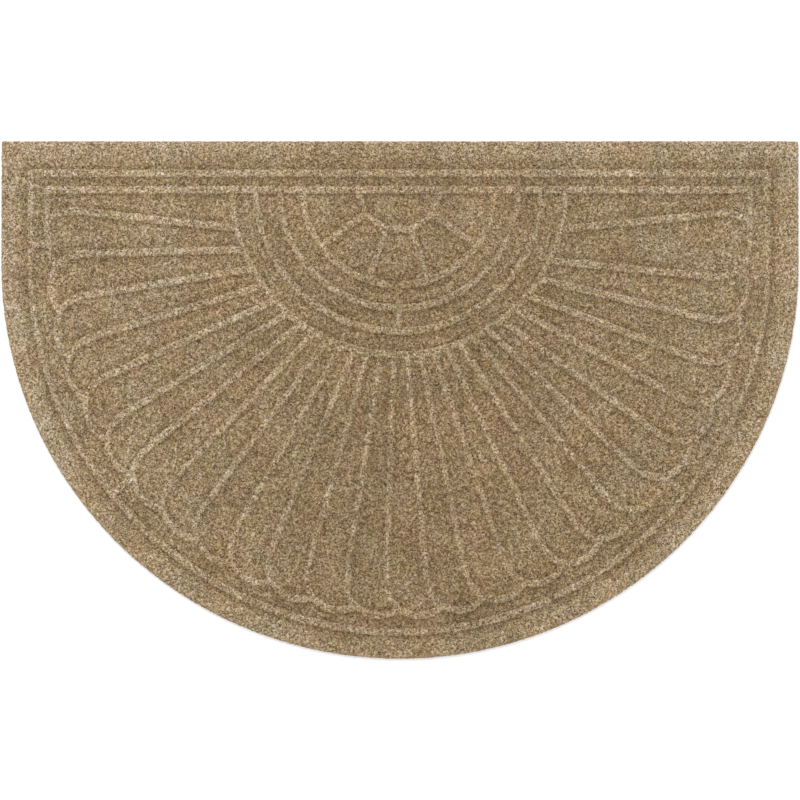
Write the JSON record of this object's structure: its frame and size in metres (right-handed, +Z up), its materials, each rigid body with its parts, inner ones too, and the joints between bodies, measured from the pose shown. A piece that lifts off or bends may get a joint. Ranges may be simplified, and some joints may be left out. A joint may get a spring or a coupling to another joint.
{
  "type": "half-round doormat",
  "caption": "Half-round moulded fibre doormat with a raised border band, border ridges and a fan of raised petals round a half-round hub.",
  "frame": {"origin": "centre of the bounding box at the underside, on the floor plane", "axes": "+X along the straight back edge, +Y towards that straight edge, +Z up out of the raised face"},
  "size_m": [0.889, 0.584, 0.008],
  "materials": {
    "pile": "matt needle-punched fibre in heathered khaki"
  },
  "bodies": {
    "root": {"mat": "pile"}
  },
  "joints": []
}
